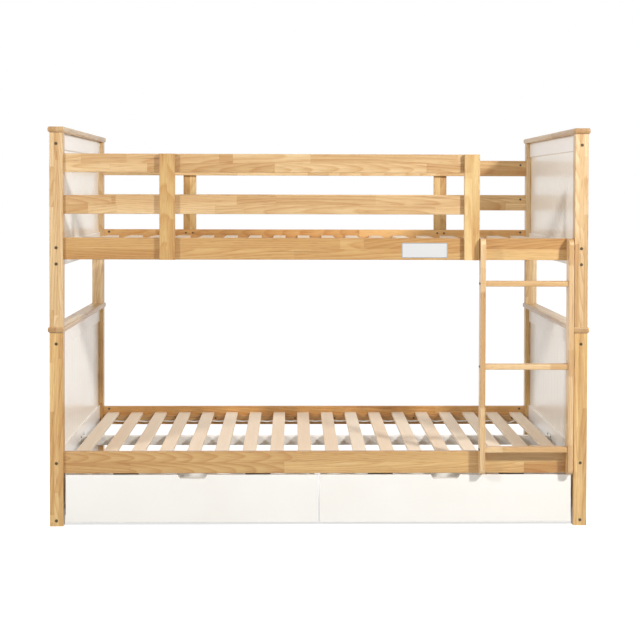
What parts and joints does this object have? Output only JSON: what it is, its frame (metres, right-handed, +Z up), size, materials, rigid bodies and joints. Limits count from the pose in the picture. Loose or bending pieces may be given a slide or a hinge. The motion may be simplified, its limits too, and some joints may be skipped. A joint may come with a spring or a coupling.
{
  "type": "bunk bed",
  "caption": "Wooden twin over twin bunk bed with painted beadboard ends, guard rails, an upright ladder at one end of the front and two low rolling drawers under the lower bed.",
  "frame": {"origin": "on the floor, at the middle of the whole outline", "axes": "+X along the bed towards the ladder's end, +Y from the ladder to the wall side, +Z up"},
  "size_m": [2.002, 1.1196, 1.476],
  "materials": {
    "post_wood": "clear satin lacquer on finger-jointed hardwood, grain upright",
    "rail_wood": "clear satin lacquer on finger-jointed hardwood, grain along the bed",
    "cap_wood": "clear satin lacquer, grain from front to back",
    "ladder_wood": "clear satin lacquer",
    "slat_wood": "bare sanded pale wood",
    "white_paint": "white satin paint on wood",
    "panel_paint": "white satin paint on thin board",
    "drawer_paint": "white satin paint on board",
    "box_board": "white faced board",
    "bracket_steel": "white powder coat",
    "tape_fabric": "woven white tape",
    "pin_steel": "zinc plated",
    "bolt_bronze": "dark bronze",
    "strip_rubber": "dark brown, matt",
    "caster_steel": "zinc plated",
    "wheel_plastic": "black moulded"
  },
  "bodies": {
    "bunk_frame": {"lower_post_front_left": "post_wood", "lower_post_front_right": "post_wood", "lower_side_rail_front": "rail_wood", "lower_post_back_left": "post_wood", "lower_post_back_right": "post_wood", "lower_side_rail_back": "rail_wood", "lower_cap_left": "cap_wood", "lower_top_rail_left": "white_paint", "lower_end_rail_left": "white_paint", "lower_beadboard_left": "panel_paint", "lower_cap_right": "cap_wood", "lower_top_rail_right": "white_paint", "lower_end_rail_right": "white_paint", "lower_beadboard_right": "panel_paint", "lower_slats": "slat_wood", "upper_post_front_left": "post_wood", "upper_post_front_right": "post_wood", "upper_side_rail_front": "rail_wood", "upper_post_back_left": "post_wood", "upper_post_back_right": "post_wood", "upper_side_rail_back": "rail_wood", "upper_cap_left": "cap_wood", "upper_top_rail_left": "white_paint", "upper_end_rail_left": "white_paint", "upper_beadboard_left": "panel_paint", "upper_cap_right": "cap_wood", "upper_top_rail_right": "white_paint", "upper_end_rail_right": "white_paint", "upper_beadboard_right": "panel_paint", "upper_slats": "slat_wood", "front_guard_rail_top": "rail_wood", "front_guard_rail_mid": "rail_wood", "back_guard_rail_top": "rail_wood", "back_guard_rail_mid": "rail_wood", "guard_uprights": "post_wood", "ladder_stile_left": "ladder_wood", "ladder_stile_right": "ladder_wood", "ladder_rungs": "ladder_wood", "foot_rails": "white_paint", "centre_beams": "white_paint", "skirt_panels": "panel_paint", "slat_ledges": "rail_wood", "beam_hangers": "bracket_steel", "slat_tapes": "tape_fabric", "stacking_pins": "pin_steel", "barrel_nuts": "pin_steel", "frame_bolts": "bolt_bronze", "wood_screws": "bolt_bronze", "rub_strips": "strip_rubber"},
    "drawer_left": {"drawer_left_front": "drawer_paint", "drawer_left_box": "box_board", "drawer_left_casters": "caster_steel"},
    "drawer_left_front_wheels": {"drawer_left_front_wheels": "wheel_plastic"},
    "drawer_left_rear_wheels": {"drawer_left_rear_wheels": "wheel_plastic"},
    "drawer_right": {"drawer_right_front": "drawer_paint", "drawer_right_box": "box_board", "drawer_right_casters": "caster_steel"},
    "drawer_right_front_wheels": {"drawer_right_front_wheels": "wheel_plastic"},
    "drawer_right_rear_wheels": {"drawer_right_rear_wheels": "wheel_plastic"}
  },
  "joints": [
    {"name": "drawer_left_slide", "type": "slide", "parent": "bunk_frame", "child": "drawer_left", "axis": [0, -1, 0], "range_m": [0, 0.5]},
    {"name": "drawer_left_front_wheels_spin", "type": "hinge", "parent": "drawer_left", "child": "drawer_left_front_wheels", "pos_m": [-0.47013, -0.45975, 0.02], "axis": [1, 0, 0], "continuous": true},
    {"name": "drawer_left_rear_wheels_spin", "type": "hinge", "parent": "drawer_left", "child": "drawer_left_rear_wheels", "pos_m": [-0.47013, -0.06675, 0.02], "axis": [1, 0, 0], "continuous": true},
    {"name": "drawer_right_slide", "type": "slide", "parent": "bunk_frame", "child": "drawer_right", "axis": [0, -1, 0], "range_m": [0, 0.5]},
    {"name": "drawer_right_front_wheels_spin", "type": "hinge", "parent": "drawer_right", "child": "drawer_right_front_wheels", "pos_m": [0.47013, -0.45975, 0.02], "axis": [1, 0, 0], "continuous": true},
    {"name": "drawer_right_rear_wheels_spin", "type": "hinge", "parent": "drawer_right", "child": "drawer_right_rear_wheels", "pos_m": [0.47013, -0.06675, 0.02], "axis": [1, 0, 0], "continuous": true}
  ],
  "couplings": [
    {"joint": "drawer_left_front_wheels_spin", "follows": "drawer_left_slide", "rad_per_m": 50},
    {"joint": "drawer_left_rear_wheels_spin", "follows": "drawer_left_slide", "rad_per_m": 50},
    {"joint": "drawer_right_front_wheels_spin", "follows": "drawer_right_slide", "rad_per_m": 50},
    {"joint": "drawer_right_rear_wheels_spin", "follows": "drawer_right_slide", "rad_per_m": 50}
  ]
}
